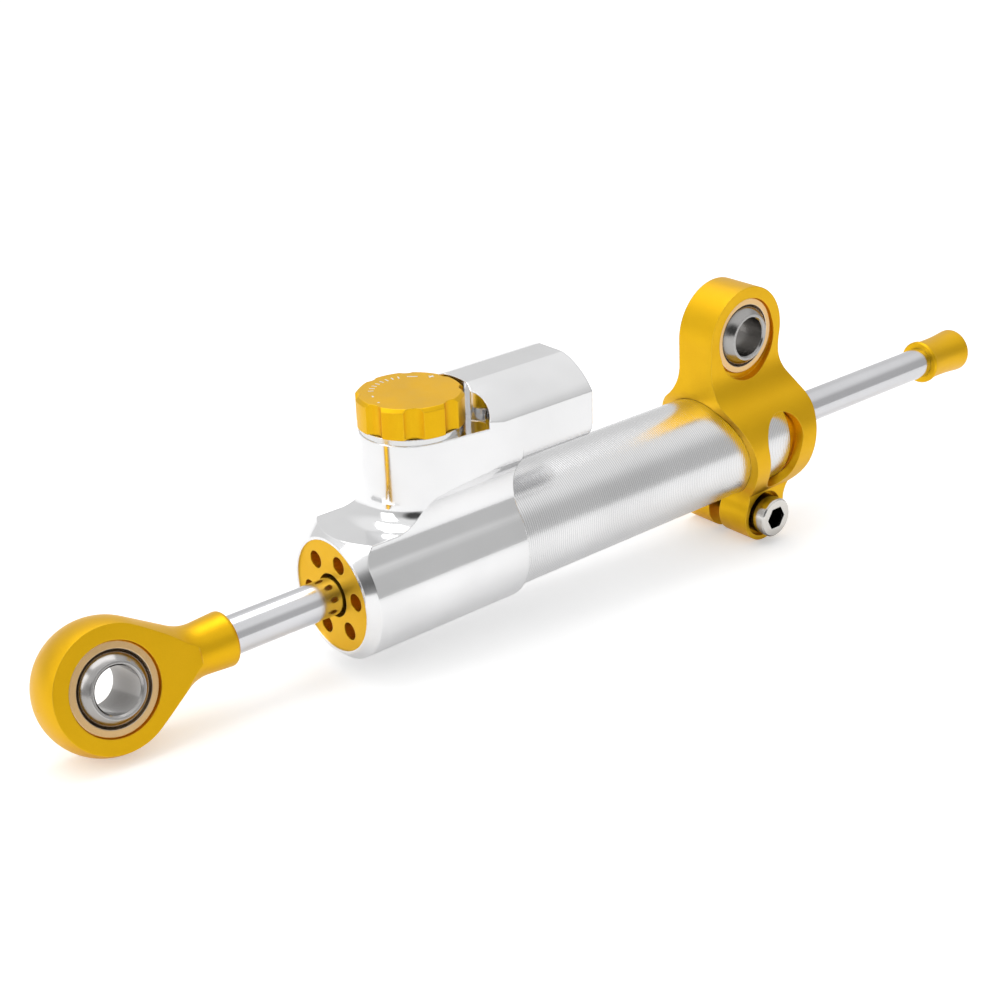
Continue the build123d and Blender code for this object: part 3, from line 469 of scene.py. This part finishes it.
def white_board():
    """White board that glows a little for the camera, and less in reflections."""
    material = bpy.data.materials.new("white_board")
    material.use_nodes = True
    tree = material.node_tree
    tree.nodes.clear()
    fibres = blend_colours(tree, noise(tree, 400.0), board_dark, board_pale)
    diffuse = add(tree, "ShaderNodeBsdfDiffuse", {"Color": fibres})
    path = add(tree, "ShaderNodeLightPath").outputs
    seen = add(tree, "ShaderNodeMath", {0: path["Is Camera Ray"], 1: board_glow},
               operation="MULTIPLY").outputs["Value"]
    mirrored = add(tree, "ShaderNodeMath", {0: path["Is Glossy Ray"], 1: board_reflected_glow,
                                            2: seen}, operation="MULTIPLY_ADD").outputs["Value"]
    glow = add(tree, "ShaderNodeEmission", {"Strength": mirrored})
    both = add(tree, "ShaderNodeAddShader", {0: diffuse.outputs["BSDF"], 1: glow.outputs["Emission"]})
    add(tree, "ShaderNodeOutputMaterial", {"Surface": both.outputs["Shader"]})
    return material


table.data.materials.append(white_board())
print("table slopes", round(slope.z / slope.x, 4))

# %% [markdown]
# ## Light
# Bright metal shows what stands round it, so the room is painted for its reflections: white
# overhead, light grey behind the object and mid grey in front, with one dark patch where a
# photographer would stand. That patch draws the dark accents on the polished curves.

# %% The room
world = bpy.data.worlds.new("studio")
bpy.context.scene.world = world
world.use_nodes = True
room = world.node_tree
room.nodes.clear()
front_wall, back_wall, ceiling = 0.66, 0.91, 1.11
wall_turn, ceiling_edge = (-0.35, 0.45), (0.42, 0.68)
stand_direction, stand_dark, stand_edge = (-0.60, -0.70, 0.38), 0.12, (0.90, 0.975)

look = add(room, "ShaderNodeTexCoord").outputs["Generated"]
sides = add(room, "ShaderNodeSeparateXYZ", {"Vector": look}).outputs
walls = spread(room, sides["Y"], front_wall, back_wall, *wall_turn)
upwards = add(room, "ShaderNodeMapRange", {"Value": sides["Z"], "From Min": ceiling_edge[0],
                                           "From Max": ceiling_edge[1]},
              interpolation_type="SMOOTHSTEP").outputs["Result"]
wall_or_ceiling = add(room, "ShaderNodeMix", {0: upwards, 2: walls, 3: ceiling}).outputs[0]
facing = add(room, "ShaderNodeVectorMath", {0: look, 1: stand_direction}, operation="DOT_PRODUCT")
away = spread(room, facing.outputs["Value"], 1.0, stand_dark, *stand_edge)
brightness = add(room, "ShaderNodeMath", {0: wall_or_ceiling, 1: away}, operation="MULTIPLY")
room_light = add(room, "ShaderNodeBackground", {"Strength": brightness.outputs["Value"]})
white_back = add(room, "ShaderNodeBackground", {"Color": (1, 1, 1, 1), "Strength": 1.0})
camera_ray = add(room, "ShaderNodeLightPath").outputs["Is Camera Ray"]
either = add(room, "ShaderNodeMixShader", {0: camera_ray, 1: room_light.outputs["Background"],
                                           2: white_back.outputs["Background"]})
add(room, "ShaderNodeOutputWorld", {"Surface": either.outputs["Shader"]})
print("room: walls", front_wall, "to", back_wall, "ceiling", ceiling)


# %% Two soft boxes
def soft_box(name, place, aim, width, depth, power):
    """A flat lamp that faces a point."""
    lamp = bpy.data.lights.new(name, "AREA")
    lamp.shape = "RECTANGLE"
    lamp.size, lamp.size_y, lamp.energy = width, depth, power
    holder = bpy.data.objects.new(name, lamp)
    place, aim = Vector(place), Vector(aim)
    turn = (aim - place).to_track_quat("-Z", "Y")
    holder.matrix_world = Matrix.Translation(place) @ turn.to_matrix().to_4x4()
    bpy.context.scene.collection.objects.link(holder)
    return holder


middle = (0.11, 0, 0)
soft_box("top_box", place=(0.10, 0.22, 0.75), aim=middle, width=0.9, depth=0.5, power=2.0)
soft_box("left_box", place=(-0.65, 0.10, 0.45), aim=middle, width=0.4, depth=0.5, power=1.0)
